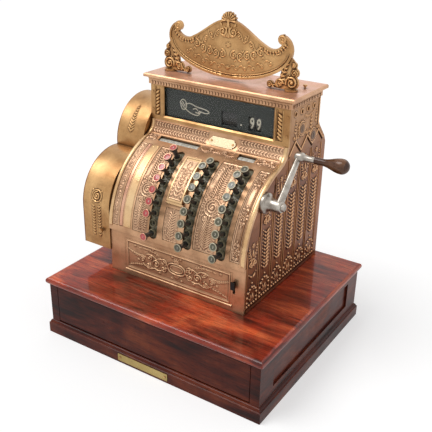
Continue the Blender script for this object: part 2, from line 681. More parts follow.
def trimmed(piece, carving, spot, under, proud):
    """Keeps the faces that aren't sunk and closes them into a solid tile over the points under."""
    cols = carving.u.shape[1]
    sunk = carving.sunk
    hold = ~(sunk[:-1, :-1] | sunk[1:, :-1] | sunk[:-1, 1:] | sunk[1:, 1:])
    for _ in range(6):      # no two faces may meet at a corner alone
        a, b, c, d = hold[:-1, :-1], hold[:-1, 1:], hold[1:, :-1], hold[1:, 1:]
        lone, other = a & d & ~b & ~c, b & c & ~a & ~d
        if not (lone.any() or other.any()):
            break
        a &= ~lone
        b &= ~other
    piece.data.vertices.foreach_set("co", under.astype(np.float32).ravel())
    mesh = bmesh.new()
    mesh.from_mesh(piece.data)
    value = mesh.verts.layers.float.new("relief")
    layer = mesh.verts.layers.int.new("spot")
    for v in mesh.verts:
        v[layer] = v.index
    drop = []
    for f in mesh.faces:
        low = min(v.index for v in f.verts)
        if not hold[low // cols, low % cols]:
            drop.append(f)
    bmesh.ops.delete(mesh, geom=drop, context="FACES")
    made = bmesh.ops.extrude_face_region(mesh, geom=mesh.faces[:], use_keep_orig=True)
    for v in mesh.verts:
        v[value] = 0.3
    for v in made["geom"]:
        if isinstance(v, bmesh.types.BMVert):
            v.co = spot[v[layer]]
            v[value] = proud[v[layer]]
    mesh.verts.layers.int.remove(layer)
    bmesh.ops.recalc_face_normals(mesh, faces=mesh.faces)
    mesh.to_mesh(piece.data)
    mesh.free()


LIFT = 0.12                    # how far a tile's ground usually lies above the casting

# slot and finish of the tiles
GOLD = ("golden_brass", "golden_carved")
POLISHED = ("golden_brass", "edge_brass")
BROWN = ("brown_brass", "brown_carved")
ROSE = ("rose_brass", "rose_carved")
KEYBOARD = ("rose_brass", "keyboard_carved")
COPPER = ("rose_brass", "copper")


def relief_tile(name, carving, place, look, base=LIFT, back=0.6, trim=False, body="cabinet"):
    """A closed tile whose face is the carving, laid on a surface by place(u, v, h) in mm.

    base lifts the face off the surface, back is how far the underside lies below base, and trim drops what
    is sunk.
    """
    h, proud = carving.result(base)
    rows, cols = h.shape
    clear_selection()
    bpy.ops.mesh.primitive_grid_add(x_subdivisions=cols - 1, y_subdivisions=rows - 1, size=2)
    piece = bpy.context.object
    if len(piece.data.vertices) != rows * cols:
        raise RuntimeError(f"{name}: the grid has {len(piece.data.vertices)} points, not {rows * cols}")
    spot = np.stack(place(carving.u, carving.v, h), axis=-1).reshape(-1, 3) * MM
    if trim:
        under = place(carving.u, carving.v, np.full_like(h, base - back))
        trimmed(piece, carving, spot, np.stack(under, axis=-1).reshape(-1, 3) * MM, proud.ravel())
        return finish_piece(smooth(piece, 50), name, body, *look)
    piece.data.vertices.foreach_set("co", spot.astype(np.float32).ravel())
    under = np.full(rows, base - back)
    ends = [np.stack(place(np.full(rows, carving.u[0, k]), carving.v[:, 0], under), axis=-1) * MM
            for k in (0, -1)]
    proud = np.concatenate([proud.ravel(), np.full(2 * rows, 0.3)])
    mesh = bmesh.new()
    mesh.from_mesh(piece.data)
    mesh.verts.ensure_lookup_table()
    top = list(mesh.verts)
    low = [[mesh.verts.new(p) for p in end] for end in ends]
    for j in range(rows - 1):
        mesh.faces.new((low[0][j], low[0][j + 1], low[1][j + 1], low[1][j]))
        mesh.faces.new((top[j * cols], low[0][j], low[0][j + 1], top[(j + 1) * cols]))
        mesh.faces.new((top[(j + 1) * cols - 1], top[(j + 2) * cols - 1], low[1][j + 1], low[1][j]))
    for j in (0, rows - 1):
        mesh.faces.new(top[j * cols:(j + 1) * cols] + [low[1][j], low[0][j]])
    bmesh.ops.recalc_face_normals(mesh, faces=mesh.faces)
    mesh.to_mesh(piece.data)
    mesh.free()
    relief = piece.data.attributes.new("relief", "FLOAT", "POINT")
    relief.data.foreach_set("value", proud.astype(np.float32))
    piece.data.polygons.foreach_set("use_smooth", np.ones(len(piece.data.polygons), bool))
    return finish_piece(smooth(piece, 50), name, body, *look)


def on_plane(u0, v0, y):
    """Faces the front at y."""
    return lambda u, v, h: (u0 + u, y - h, v0 + v)


def on_back(u0, v0, y):
    """Faces the back at y."""
    return lambda u, v, h: (u0 - u, y + h, v0 + v)


def on_right(y0, z0):
    """Faces the right, on the cabinet's side."""
    return lambda u, v, h: (CAB_RIGHT + h, y0 + u, z0 + v)


def on_left(y0, z0, x=CAB_LEFT):
    """Faces the left at x."""
    return lambda u, v, h: (x - h, y0 - u, z0 + v)


def on_arc(x0, a0, r=KB_R):
    """On the keyboard's curve, from angle a0 up."""
    def place(u, v, h):
        a = np.radians(a0) + v / r
        return x0 + u, KB_Y - (r + h) * np.cos(a), KB_Z + (r + h) * np.sin(a)
    return place


def on_sweep(x0, s0):
    """On the ledge above the keyboard and the sweep up to the window, s mm from the curve's end."""
    ledge = math.hypot(SWEEP_Y + SWEEP_R * math.sin(SLOPE) - END_Y,
                       SWEEP_Z - SWEEP_R * math.cos(SLOPE) - END_Z)

    def place(u, v, h):
        s = s0 + v
        a = np.clip(SLOPE + (s - ledge) / SWEEP_R, SLOPE, math.pi / 2)
        y = np.where(s < ledge, END_Y + s * math.cos(SLOPE), SWEEP_Y + SWEEP_R * np.sin(a))
        z = np.where(s < ledge, END_Z + s * math.sin(SLOPE), SWEEP_Z - SWEEP_R * np.cos(a))
        return x0 + u, y - h * np.sin(a), z + h * np.cos(a)
    return place


def on_front(x0, s0):
    """On the whole front: s mm up the curve from its foot, then the ledge and the sweep."""
    bend = math.radians(CURVE_END) * KB_R

    def place(u, v, h):
        s = s0 + v
        a = np.minimum(s, bend) / KB_R
        x, y, z = on_sweep(x0, 0)(u, np.maximum(s - bend, 0), h)
        on_curve = s < bend
        return (x, np.where(on_curve, KB_Y - (KB_R + h) * np.cos(a), y),
                np.where(on_curve, KB_Z + (KB_R + h) * np.sin(a), z))
    return place


def depth_in(y, z):
    """How far a point of the side lies behind the front's outline."""
    curve = KB_R - np.hypot(KB_Y - y, z - KB_Z)
    ledge = (END_Z + (y - END_Y) * math.tan(SLOPE) - z) * math.cos(SLOPE)
    swing = np.degrees(np.arctan2(z - SWEEP_Z, y - SWEEP_Y))
    on_curve = np.degrees(np.arctan2(z - KB_Z, KB_Y - y)) < CURVE_END
    return np.select([z < KB_Z, on_curve, (swing >= RAMP - 90) & (swing <= 0), z > SWEEP_Z],
                     [y - FRONT_Y, curve, np.hypot(y - SWEEP_Y, z - SWEEP_Z) - SWEEP_R, y - 35], ledge)


def on_lobe(x0, s0, y, z, r):
    """On the printer housing's front: upright below the lobe's axis, round it above."""
    def place(u, v, h):
        s = s0 + v
        a = np.maximum(s, 0) / r
        return x0 + u, y - (r + h) * np.cos(a), z + (r + h) * np.sin(a) + np.minimum(s, 0)
    return place


# ---- pieces ----

class REGISTER_OT_wood(bpy.types.Operator):
    """Polished mahogany for the base, plain wood for the drawer"""
    bl_idname = "register.wood"
    bl_label = "Wooden base"

    def execute(self, context):
        make_finishes()
        dress(["base_top"], "mahogany")
        dress(["plinth", "case_boards", "drawer_front"], "case_wood")
        dress(["drawer_box", "till_tray"], "drawer_wood")
        return {"FINISHED"}


class REGISTER_OT_castings(bpy.types.Operator):
    """Brass, nickel and paint for the cast and turned parts"""
    bl_idname = "register.castings"
    bl_label = "Castings and fittings"

    def execute(self, context):
        make_finishes()
        for finish, nodes in {
            "rose_brass": ["lower_frame", "keyboard_casting", "front_door"],
            "edge_brass": ["counter_lid"],
            "brown_brass": ["side_panel_left", "side_panel_right", "rear_panel", "printer_door"],
            "golden_brass": ["sign", "screws"],
            "drum_brass": ["window_frame", "printer_housing"],
            "dark_bronze": ["lock_plug_front", "lock_plug_rear"],
            "cornice_brass": ["cornice"],
            "plate_brass": ["brass_plates"],
            "nickel": ["crank_arm", "crank_bearing"],
            "grip_wood": ["crank_grip"],
            "guide_olive": ["key_frames"],
            "black_iron": ["release_lever"],
            "counter_white": ["counter_drum"],
            "display_board": ["display_frame"],
            "wheel_paint": ["dollar_wheel", "dime_wheel", "cent_wheel"],
            "glass": ["window_glass"],
            "paper": ["paper_roll"],
        }.items():
            dress(nodes, finish)
        return {"FINISHED"}


class REGISTER_OT_front_door(bpy.types.Operator):
    """Scrolls and sprays on the front door"""
    bl_idname = "register.front_door"
    bl_label = "Front door ornament"

    def execute(self, context):
        wide, long = 253, 65
        c = Carving(wide, long)
        m = wide / 2

        def half():
            c.rim(2.2, 1.5, 1.5)
            c.stroke([(5, 5), (m + 1, 5)], 0.7, 0.7, 0.7)
            # cartouche in the middle
            for w, tall, line, top in ((21, 12, 1.5, 1.9), (15, 7, 0.9, 1.1)):
                c.stroke(bow((m, 33 + tall), (m - w, 33 + tall), (m - w, 33))
                         + bow((m - w, 33), (m - w, 33 - tall), (m, 33 - tall)), line, line, top)
            c.fan(m, 47, 90, 7, 11, 3.6, 1.5, 190)
            c.fan(m, 19, 270, 7, 10, 3.4, 1.4, 190)
            # scrolls beside it, shrinking outwards
            for u, v, r, a, hand in ((32, 40, 8, -40, 1), (32, 24, 7, 40, -1), (50, 30, 9, 200, -1),
                                     (67, 41, 6.5, -60, 1), (70, 22, 6, 60, -1), (85, 31, 5.5, 180, -1)):
                c.spiral(m - u, v, r, a, 1.5, 1.25, 1.7, hand)
            for points in (((21, 33), (34, 52), (50, 40)), ((50, 40), (64, 52), (76, 44)),
                           ((22, 30), (38, 12), (54, 19)), ((54, 19), (70, 10), (84, 22))):
                c.stroke(bow(*[(m - u, v) for u, v in points]), 1.2, 0.8, 1.5)
            # long sprays that sweep to the corners
            for points, *leaves in ((((78, 38), (98, 34), (121, 45)), 9, 9, 3.0, 1.5, 30),
                                    (((60, 18), (92, 20), (118, 9.5)), 10, 7.5, 2.6, 1.3, 30),
                                    (((44, 50), (62, 58), (92, 55)), 8, 6, 2.2, 1.2, 34)):
                c.frond(bow(*[(m - u, v) for u, v in points]), *leaves)
            for u, v in ((42, 12), (58, 60), (104, 56), (96, 27), (10, 58), (12, 10)):
                c.flower(m - u, v, 3.4, 5, 1.3)

        c.mirrored(half)
        c.ground(4, 2.6, 0.5, 0.28)
        relief_tile("front_door_ornament", c, on_plane(-129.5, 149.6, FRONT_Y), ROSE, back=0.3,
                    body="front_door")
        return {"FINISHED"}


def foliage(c):
    """Leaf sprays below and above a round medallion."""
    m, mid = c.wide / 2, c.long * 0.47
    big = min(m - 4, 17)

    def half():
        c.rim(1.0, 0.9, 1.1)
        low, high = mid - big - 9, mid + big + 7
        c.frond([(m, 6), (m, 30), (m, low)], 12, m * 0.8, 3.6, 1.9, 48, 0.9, (1.0, 0.8))
        c.frond([(m, high), (m, mid + big + 36), (m, c.long - 14)], 12, m * 0.78, 3.6, 1.9, 48, 0.9,
                (1.0, 0.7))
        c.frond(bow((m - 3, 3), (3.5, 10), (5, 44)), 8, 7.5, 3.0, 1.6, 38)
        c.frond(bow((m - 3, c.long - 4), (4, c.long - 12), (5, c.long - 46)), 8, 7.5, 3.0, 1.6, 38)
        c.frond(bow((m - big - 1, mid - 24), (2, mid), (m - big - 1, mid + 26)), 6, 6, 2.4, 1.4, 50)
        for v, a, hand in ((mid - big - 7, 60, -1), (mid + big + 7, -60, 1)):
            c.spiral(m - big * 0.6, v, 5.6, a, 1.5, 1.4, 1.9, hand)
        for a in (150, 180, 210):
            c.leaf(*around(m, mid, big, a), a, 7, 3.4, 1.7)

    c.mirrored(half)
    c.ring(m, mid, big, 1.3, 1.7)
    c.spiral(m, mid, big * 0.72, 90, 1.8, 1.5, 1.7)
    c.beads(m, mid, big - 3, 16, 0.9, 1.2)
    c.ground(7, 2.4, 0.5, 0.3)


def strip(c):
    """A narrow upright strip of small scrolls and beads."""
    m = c.wide / 2
    c.rim(0.8, 0.7, 0.9)
    n = max(3, round(c.long / 17))
    pitch = c.long / n
    for i in range(n):
        v = (i + 0.5) * pitch
        side = 1 if i % 2 else -1
        c.spiral(m + side * 1.2, v, min(m - 3, 4.4), 90 * side, 1.4, 0.9, 1.3, side)
        c.stroke(bow((m + side * 4.4, v - 2), (m + side * 6, v + pitch / 2),
                     (m - side * 2, v + pitch * 0.62)), 0.8, 0.5, 1.0)
        c.leaf(m, v + pitch * 0.3, 90 + 30 * side, 6, 2.4, 1.2)
        c.dome(m, v + pitch / 2, 1.1, 1.1)
    c.ground(11, 2.2, 0.45, 0.28)


def outlined(c):
    """Two raised lines with small flowers along the field."""
    c.rim(1.2, 1.0, 1.3)
    m = c.wide / 2
    for u in (4.6, c.wide - 4.6):
        c.upright(u, 7, 1.0, 1.4)
    for v in (c.long * 0.11, c.long * 0.47, c.long * 0.89):
        c.ring(m, v, 3.4, 1.0, 1.9)
        c.dome(m, v, 1.7, 2.0)
        for a in np.arange(22.5, 360, 45):
            c.leaf(*around(m, v, 4.6, a), a, 6.2, 3.0, 1.8)
        for s in (1, -1):
            for side in (1, -1):
                c.spiral(m + side * 3.6, v + s * 13.5, 3.0, 90 * s, 1.3, 1.0, 1.7, side * s)
            c.leaf(m, v + s * 16, 90 * s, 8, 3.4, 1.6)
    c.ground(13, 2.2, 0.5, 0.3)


def leafy(c):
    """A leaf spray between two that lean out."""
    m = c.wide / 2
    c.rim(0.9, 0.8, 1.0)
    c.frond([(m, 4), (m, 30), (m, c.long - 10)], 10, 13, 3.6, 1.9, 48, 0.9, (1, 0.8))
    for s in (-1, 1):
        c.frond(bow((m, 3), (m + s * 19, 12), (m + s * 13, c.long - 8)), 7, 5.5, 2.4, 1.6, 40)
    c.ground(17, 2.3, 0.5, 0.28)


def lid(c):
    """Sprays round the keyhole of the counter lid."""
    m = c.wide / 2
    c.rim(1.0, 0.9, 1.1)
    keyhole = c.long * (KEYHOLE - LID_LOW) / (LID_HIGH - LID_LOW)
    c.ring(m, keyhole - 3, 4.4, 1.1, 1.3)
    c.sunk |= np.hypot(c.u - m, c.v - keyhole + 2.4) < 2.9
    c.frond([(m, 4), (m, 20), (m, keyhole - 10)], 6, 11, 3.6, 1.9, 46, 0.9, (1, 0.8))
    c.frond([(m, keyhole + 5), (m, c.long - 6)], 3, 9, 3.2, 1.8, 44, 0.9)
    for s in (-1, 1):
        c.spiral(m + s * 9.5, keyhole - 3, 4, 90, 1.4, 0.9, 1.2, s)
        c.frond(bow((m + s * 11, 4), (m + s * 13, 20), (m + s * 10.5, keyhole - 12)),
                6, 5, 2.2, 1.5, 36)
    c.ground(19, 2.2, 0.45, 0.28)


class REGISTER_OT_keyboard(bpy.types.Operator):
    """Ornament in the panels of the curved keyboard"""
    bl_idname = "register.keyboard"
    bl_label = "Keyboard ornament"

    def panel(self, name, x0, x1, a0, a1, draw, base=0.25 - SINK, body="cabinet", r=KB_R, depth=0.8):
        """A tile between x0 and x1, from angle a0 to a1."""
        gap = 0.25
        c = Carving(x1 - x0 - 2 * gap, math.radians(a1 - a0) * KB_R - 2 * gap)
        c.depth *= depth
        draw(c)
        place = on_arc(x0 + gap, a0 + math.degrees(gap / KB_R), r)
        relief_tile(name, c, place, KEYBOARD, base, 0.2, body=body)

    def execute(self, context):
        self.panel("keyboard_strip_outer", -163, -147, KB_LOW, KB_HIGH, strip)
        self.panel("keyboard_panel_left", -111, -73, KB_LOW, KB_HIGH, foliage)
        self.panel("keyboard_panel_right", 37.5, 87, KB_LOW, KB_HIGH, foliage)
        self.panel("keyboard_strip_right", 121, 143, KB_LOW, KB_HIGH, outlined, depth=1.0)
        self.panel("keyboard_panel_lid", -35.75, 0.25, KB_LOW, 25.8, leafy)
        self.panel("counter_lid_ornament", -32.75, -2.75, LID_LOW, LID_HIGH, lid, -0.6,
                   "counter_lid", 180)
        return {"FINISHED"}


KEYS = {"dollar": [1, 3, 4, 5, 6, 7, 8, 9], "dime": list(range(1, 10)), "cent": list(range(1, 10))}


class REGISTER_OT_keys(bpy.types.Operator):
    """Round keys with a plated ring and an enamelled face"""
    bl_idname = "register.keys"
    bl_label = "Keys"

    def blank(self):
        """One key along +Z, its top at the origin; slots: black, ring, face, numeral."""
        clear_selection()
        bpy.ops.mesh.primitive_cylinder_add(vertices=40, radius=8.2 * MM, depth=4.5 * MM,
                                            location=(0, 0, -2.25 * MM))
        cap = bpy.context.object
        bpy.ops.object.mode_set(mode="EDIT")
        bpy.ops.mesh.select_all(action="DESELECT")
        bpy.ops.mesh.select_mode(type="FACE")
        bpy.ops.object.mode_set(mode="OBJECT")
        for p in cap.data.polygons:
            p.select = p.normal.z > 0.9
        bpy.ops.object.mode_set(mode="EDIT")
        for inset, rise in ((0.5, 0.35), (1.1, -0.1), (0.35, -0.75), (2.6, 0.25)):
            bpy.ops.mesh.inset(thickness=inset * MM)
            bpy.ops.transform.translate(value=(0, 0, rise * MM))
        bpy.ops.object.mode_set(mode="OBJECT")
        for p in cap.data.polygons:
            reach = max(math.hypot(*cap.data.vertices[v].co.xy) for v in p.vertices) / MM
            above = min(cap.data.vertices[v].co.z for v in p.vertices) / MM > -1
            p.material_index = 0 if not above else 1 if reach > 6.4 else 2      # skirt, ring, face
        clear_selection()
        bpy.ops.mesh.primitive_cone_add(vertices=24, radius1=3.4 * MM, radius2=6.6 * MM, depth=2.4 * MM,
                                        location=(0, 0, -5.6 * MM))
        neck = bpy.context.object
        clear_selection()
        bpy.ops.mesh.primitive_cube_add(size=1, location=(0, 0, -30 * MM),
                                        scale=(8.6 * MM, 5.6 * MM, 48 * MM))
        stem = bpy.context.object
        choose(stem)
        bpy.ops.object.transform_apply(location=False, rotation=False, scale=True)
        edit_all()
        bpy.ops.mesh.bevel(offset=0.8 * MM, segments=2)
        bpy.ops.object.mode_set(mode="OBJECT")
        for part in (cap, neck, stem):
            settle(part)
            for k in ("key_black", "key_rim", "key_green", "ivory"):
                part.data.materials.append(FINISHES[k])
        return join([cap, neck, stem])

    def radial(self, x, digit, r):
        """Turns +Z to the keyboard's radius through a key and moves the origin r out along it."""
        a = math.radians(KEY_A0 + KEY_STEP * (digit - 1))
        sin, cos = math.sin(a), math.cos(a)
        turn = Matrix(((1, 0, 0), (0, sin, -cos), (0, cos, sin))).to_4x4()
        return moved(x, KB_Y - r * cos, KB_Z + r * sin) @ turn

    def sleeve(self):
        """A round sleeve through which a key's stem slides, its axis along Z."""
        clear_selection()
        bpy.ops.mesh.primitive_torus_add(major_segments=28, minor_segments=10,
                                         major_radius=7 * MM, minor_radius=1.2 * MM)
        ring = bpy.context.object
        for v in ring.data.vertices:
            v.co.z *= 2.6
        return ring

    def execute(self, context):
        make_finishes()
        blank = self.blank()
        numerals = {d: numeral(d, 6.6) for d in range(1, 10)}
        ring = self.sleeve()
        for bank, x in BANKS.items():
            rings = join([copied(ring, self.radial(x, digit, KB_R + 1)) for digit in range(1, 10)])
            finish_piece(smooth(rings, 60), f"key_sleeves_{bank}", "cabinet", "dark_steel",
                         "guide_olive")
            for digit in KEYS[bank]:
                name = f"key_{bank}_{digit}"
                latched = digit == 9 and bank != "dollar"
                parts = [copied(blank), copied(numerals[digit], moved(0, 0, -0.2))]
                if bank == "dollar":
                    parts[0].data.materials[1] = FINISHES["copper"]
                    parts[0].data.materials[2] = FINISHES["key_red"]
                key = join(parts)
                key.data.transform(self.radial(x, digit, KEY_TOP - (KEY_TRAVEL if latched else 0)))
                key.name = key.data.name = name + "_dressed"
                smooth(key, 40)
                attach(key, name)
                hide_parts(name)
        for o in [blank, ring, *numerals.values()]:
            bpy.data.objects.remove(o)
        return {"FINISHED"}


class REGISTER_OT_crank(bpy.types.Operator):
    """Trumpet hub, tapered arm, elbow and shank of the crank"""
    bl_idname = "register.crank"
    bl_label = "Crank"

    def execute(self, context):
        make_finishes()
        y1, z1 = CRANK_Y + CRANK_LONG * math.cos(CRANK_LEAN), CRANK_Z + CRANK_LONG * math.sin(CRANK_LEAN)
        hub = turned(CRANK_X, CRANK_Y, CRANK_Z, [
            (-20, 7.9), (0, 7.9), (0, 20.6), (2.4, 20.8), (3.6, 20), (4.6, 17.6), (6, 15.6), (8.5, 13.8),
            (12, 12.6), (17, 12), (28, 12.2), (32, 11.6), (33.6, 10.2), (34, 7.6), (37.6, 7.4), (38.7, 6.4),
            (38.9, 2)])
        elbow = turned(ELBOW_X, y1, z1, [
            (0, 4), (0.3, 7), (1.8, 8.9), (3.6, 9.6), (12, 9.8), (15, 9), (17.5, 7.4), (20.5, 6.3), (30, 5.7),
            (38.6, 5.5), (39.4, 5), (39.6, 2.9), (99.4, 2.9), (99.6, 1)])
        clear_selection()
        bpy.ops.mesh.primitive_cone_add(vertices=32, radius1=11 * MM, radius2=7.4 * MM,
                                        depth=CRANK_LONG * MM)
        arm = bpy.context.object
        edit_all()
        bpy.ops.transform.resize(value=(0.56, 1, 1), center_override=(0, 0, 0))
        bpy.ops.object.mode_set(mode="OBJECT")
        middle = moved(ARM_X, (CRANK_Y + y1) / 2, (CRANK_Z + z1) / 2)
        settle(arm, middle @ Matrix.Rotation(CRANK_LEAN - math.pi / 2, 4, "X"))
        crank = smooth(join([hub, elbow, arm]), 40)
        finish_piece(crank, "crank_arm_turned", "crank_arm", "nickel", "nickel")
        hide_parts("crank_arm")
        return {"FINISHED"}


class REGISTER_OT_strips(bpy.types.Operator):
    """Polished strips with screws at the left of the keyboard"""
    bl_idname = "register.strips"
    bl_label = "Keyboard strips"

    def strip(self, name, x0, x1, base, top, look, rows):
        """A plate up the curve; rows gives shares of its width and the screws' shares of its length."""
        gap = 0.3
        c = Carving(x1 - x0 - 2 * gap, math.radians(KB_HIGH - KB_LOW) * KB_R - 2 * gap)
        c.slab(0.2, 1.2, top)
        for share, screws in rows.items():
            for t in screws:
                c.screw(c.wide * share, c.long * t, 1.7, top + 0.5)
        relief_tile(name, c, on_arc(x0 + gap, KB_LOW + math.degrees(gap / KB_R)), look, base, 0.2)

    def execute(self, context):
        self.strip("keyboard_copper_strip", -145, -136, 0.2 - SINK, 1.6, COPPER,
                   {0.5: (0.02, 0.42, 0.98)})
        self.strip("keyboard_gold_strip", -133.5, -115, 0.1, 0.9, POLISHED,
                   {0.24: (0.03, 0.35, 0.66, 0.97), 0.76: (0.02, 0.52, 0.98)})
        return {"FINISHED"}


def band(c):
    """Two rows of leaves that lean outwards from a middle vein."""
    mid = c.long / 2
    for v in (1, c.long - 1):
        c.level(v, 1.5, 0.8, 1.0)
    n = round(c.wide / 7.4)
    for v in (mid - 6.4, mid + 6.4):
        for i in range(n):
            u = (i + 0.2 + (0.4 if v > mid else 0)) * (c.wide - 6) / n + 1
            for side in (1, -1):
                c.leaf(u, v, side * 40, 7.6, 3.4, 1.4, 0.2)
    c.ground(23, 2.2, 0.45, 0.3)


def curls(c):
    """A flower between two scrolls with leaf tails."""
    m, mid = c.wide / 2, c.long / 2

    def half():
        c.spiral(m - c.wide * 0.2, mid, mid * 0.62, 0, 1.5, 1.0, 1.5)
        c.frond(bow((m - c.wide * 0.26, mid - 3), (m - c.wide * 0.36, 2), (3, mid)),
                5, 5, 2.2, 1.3, 36)
        c.leaf(m - 2, mid, 150, 8, 3, 1.4)
        c.leaf(m - 2, mid, 210, 8, 3, 1.4)
    c.mirrored(half)
    c.flower(m, mid, min(5, mid * 0.8), 6, 1.6)
    c.ground(29, 2.2, 0.45, 0.28)


class REGISTER_OT_ledge(bpy.types.Operator):
    """Leaf bands and small scrolls on the ledge and the sweep under the window"""
    bl_idname = "register.ledge"
    bl_label = "Ledge ornament"

    def execute(self, context):
        for name, x0, x1, s0, s1, draw in (("sweep_band_left", -163, -24, 25.5, 53, band),
                                           ("sweep_band_right", 46, 145, 25.5, 53, band),
                                           ("ledge_scroll_middle", -30, 52, 2.5, 22, curls),
                                           ("ledge_scroll_right", 101, 146, 2.5, 22.5, curls),
                                           ("ledge_scroll_left", -165, -139, 2.5, 22.5, curls)):
            c = Carving(x1 - x0, s1 - s0)
            draw(c)
            relief_tile(name, c, on_sweep(x0, s0), KEYBOARD)
        return {"FINISHED"}


class REGISTER_OT_window(bpy.types.Operator):
    """Leaf ropes beside the window, the painted board and the numbers on the wheels"""
    bl_idname = "register.window"
    bl_label = "Window and numbers"

    def execute(self, context):
        for name, x0, turn in (("window_rope_left", -162, 1), ("window_rope_right", 124, -1)):
            c = Carving(15.4, 60.4, 0.8)
            m = c.wide / 2
            for u in (1.2, c.wide - 1.2):
                c.upright(u, 0.8, 0.9, 1.5)
            n = 7
            for i in range(n):
                v = 1 + i * (c.long - 9) / n
                c.leaf(m - turn * 5.0, v, 90 - turn * 48, 12.5, 5.4, 3.0, 0.15)
            relief_tile(name, c, on_plane(x0 + 0.3, 439.3, 35), GOLD, 0.2 - SINK, 0.2)

        # numbers on the wheels: front rims show 9 and 9, the first one a blank
        glyphs = {d: numeral(d, 33, 0.75) for d in range(10)}
        for wheel, x, first in (("dollar_wheel", 15, None), ("dime_wheel", 66.6, 9),
                                ("cent_wheel", 81.6, 9)):
            for side in (1, -1):
                parts = []
                for i in range(10):
                    digit = (9 - i if first else i) % 10
                    if first is None and i == 0:
                        continue
                    part = copied(glyphs[digit])
                    spots = np.array([v.co for v in part.data.vertices]) / MM
                    a = math.radians(36 * i) + spots[:, 1] * 0.95 / WHEEL_R
                    r = WHEEL_R + 0.06 + spots[:, 2] * 0.6
                    middle = x if side > 0 else 2 * CAB_MID - x
                    spots = np.stack([middle + side * spots[:, 0] * 0.6, WHEEL_Y - side * r * np.cos(a),
                                      WHEEL_Z + r * np.sin(a)], 1)
                    part.data.vertices.foreach_set("co", (spots * MM).astype(np.float32).ravel())
                    parts.append(part)
                name = f"{wheel}_numbers_{'front' if side > 0 else 'rear'}"
                finish_piece(outward(join(parts)), name, wheel, "counter_white", "ivory")
        for o in glyphs.values():
            bpy.data.objects.remove(o)

        # painted motif on the board: a cuffed hand that points to the numbers, in outline
        lines = [
            [(-104, 474), (-96, 480), (-88, 468), (-96, 459), (-104, 474)],
            [(-91, 471), (-80, 474), (-64, 470), (-36, 465.5), (-33, 463), (-36, 460.5), (-58, 461.5)],
            [(-93, 463), (-84, 457), (-70, 452.5), (-58, 453.5), (-56, 457), (-60, 459)],
            [(-58, 461.5), (-54, 459.5), (-58, 457), (-66, 458)],
            [(-72, 463.5), (-64, 465.5), (-60, 462)],
            [(-101, 472), (-94, 463)],
            [(-98.5, 476), (-91, 466)],
        ]
        parts = []
        for k, line in enumerate(lines):
            curve = bpy.data.curves.new(f"hand_{k}", "CURVE")
            curve.dimensions, curve.bevel_depth, curve.bevel_resolution = "3D", 1.05 * MM, 1
            spline = curve.splines.new("BEZIER")
            spline.bezier_points.add(len(line) - 1)
            for point, (x, z) in zip(spline.bezier_points, line):
                point.co = (x * MM, BOARD_Y * MM, z * MM)
                point.handle_left_type = point.handle_right_type = "AUTO"
            part = bpy.data.objects.new(f"hand_{k}", curve)
            bpy.context.scene.collection.objects.link(part)
            choose(part)
            bpy.ops.object.convert(target="MESH")
            part = bpy.context.object
            for v in part.data.vertices:
                v.co.y = BOARD_Y * MM + (v.co.y - BOARD_Y * MM) * 0.3
            parts.append(part)
        clear_selection()
        # a point between the numbers
        bpy.ops.mesh.primitive_cylinder_add(vertices=20, radius=1.6 * MM, depth=0.3 * MM,
                                            location=(43 * MM, 43.9 * MM, 451.5 * MM),
                                            rotation=(math.pi / 2, 0, 0))
        parts.append(settle(bpy.context.object))
        finish_piece(join(parts), "display_paint", "cabinet", "counter_white", "ivory")
        return {"FINISHED"}


def sign_outline(edge):
    """The sign plate's outline about its shoulder, edge mm inside the rim."""
    half, belly, hump = SIGN_HALF, SIGN_BELLY, SIGN_HUMP
    right = [(math.cos(a) * (half - edge), math.sin(a) * (belly - edge))
             for a in np.radians(np.linspace(-90, 0, 24))]
    right += arc_points(half - 29.5, 0, 29.5 - edge, 8, 52, 6)
    right += arc_points(half - 43, 26, 26 + edge, -14, -123, 12)
    right += [(x, hump * math.cos(math.radians(90 * x / 105)) ** 2 - edge)
              for x in np.linspace(80, 0, 20)]
    return right + [(-x, z) for x, z in right[::-1]]


